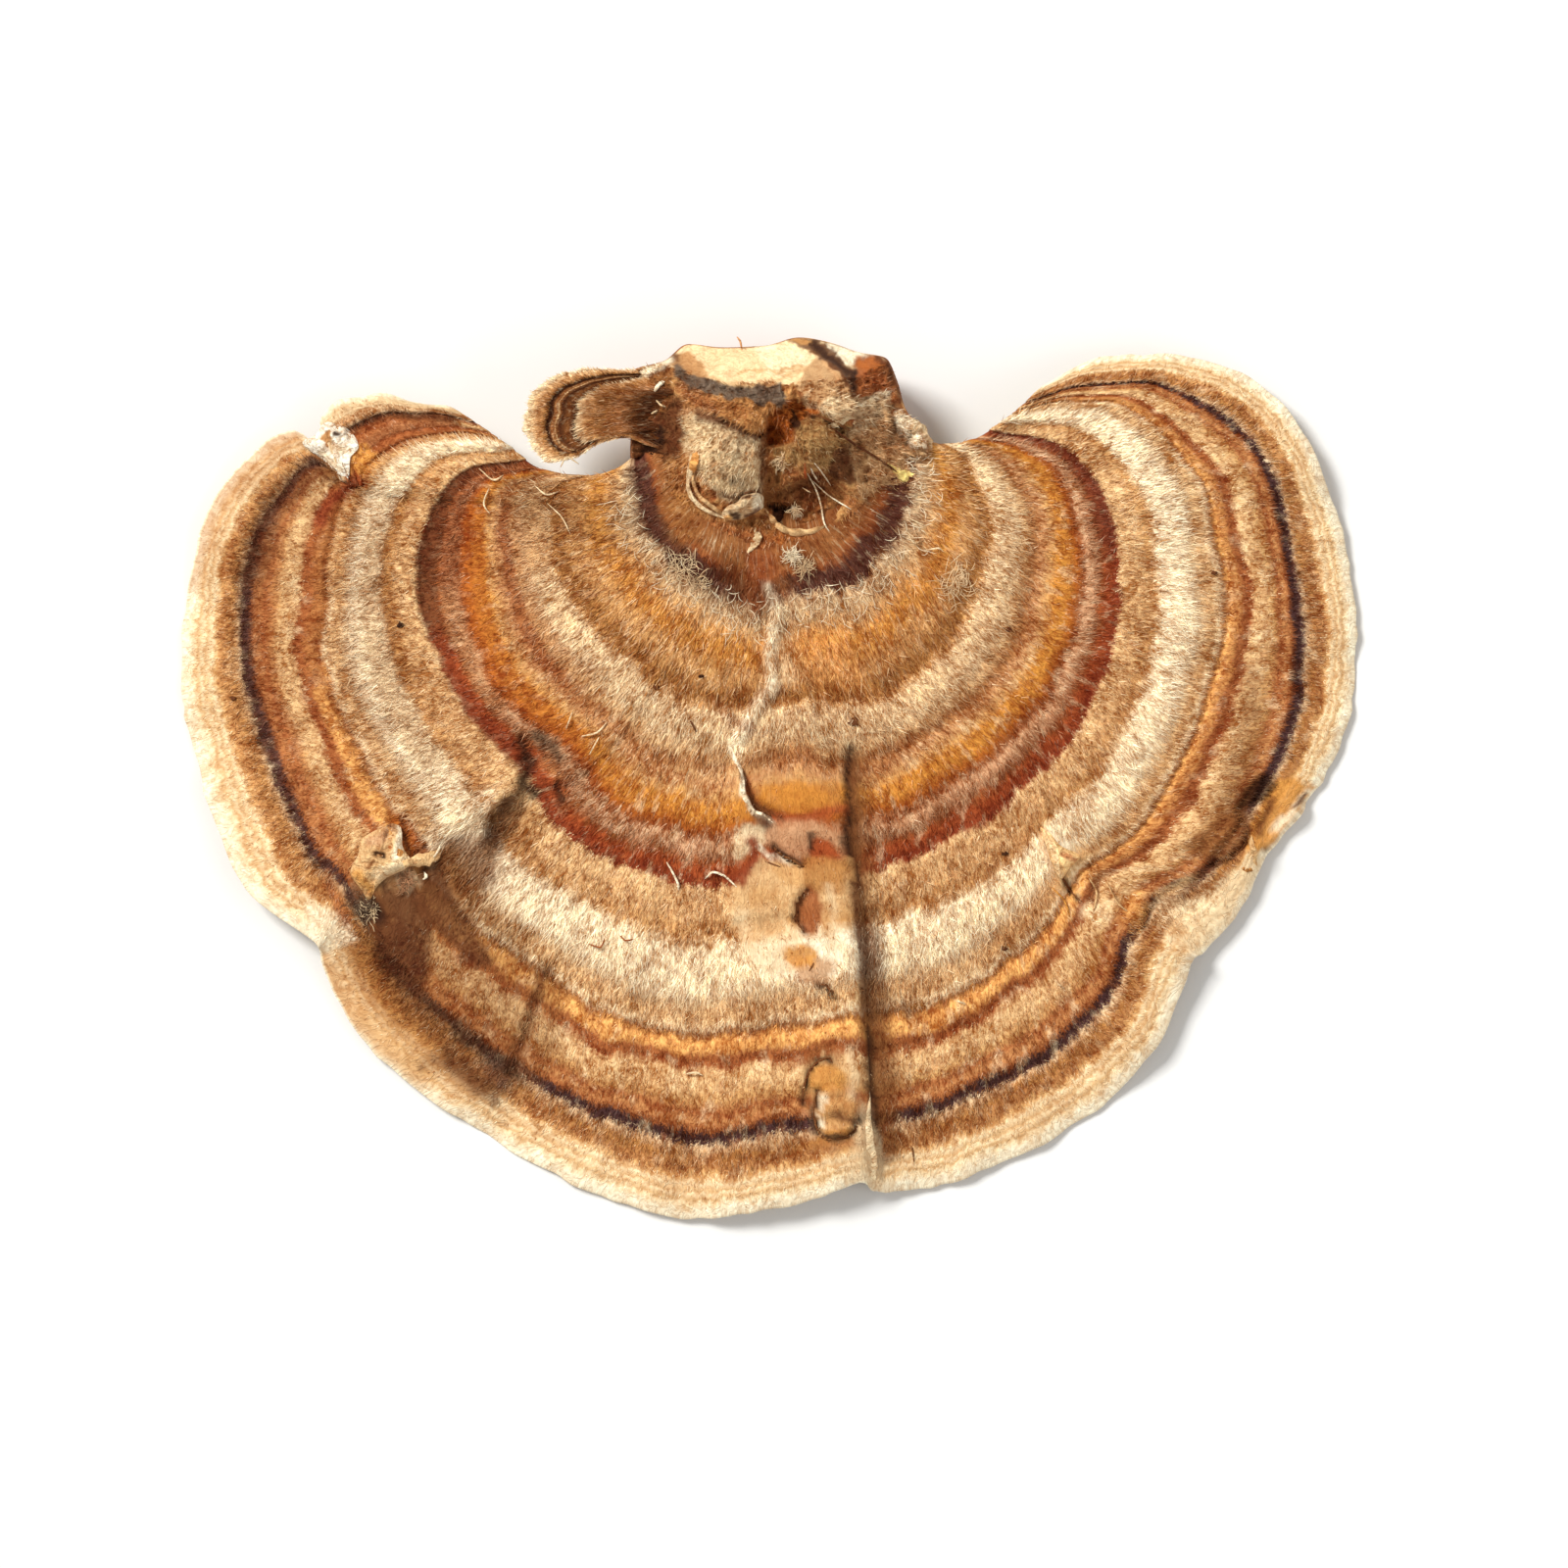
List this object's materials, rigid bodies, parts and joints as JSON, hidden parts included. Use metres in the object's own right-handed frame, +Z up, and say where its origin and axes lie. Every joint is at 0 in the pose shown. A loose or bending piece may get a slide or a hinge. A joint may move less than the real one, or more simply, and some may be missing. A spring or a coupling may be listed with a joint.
{
  "type": "turkey tail fungus",
  "caption": "Dried fan-shaped bracket fungus with banded velvety cap, torn notches, a central fold and a flat-cut stump, lying on its pore side.",
  "frame": {"origin": "on the resting surface, under the middle of the object's box", "axes": "+Z up from the surface it lies on, +X across the fan, +Y from the front margin to the stump that held it to its log"},
  "size_m": [0.0702, 0.0525, 0.0108],
  "materials": {
    "cap": "banded, velvety to matte",
    "husk": "dry and matte"
  },
  "bodies": {
    "root": {"cap": "cap", "dry_husk_left": "husk", "dry_husk_right": "husk"}
  },
  "joints": []
}
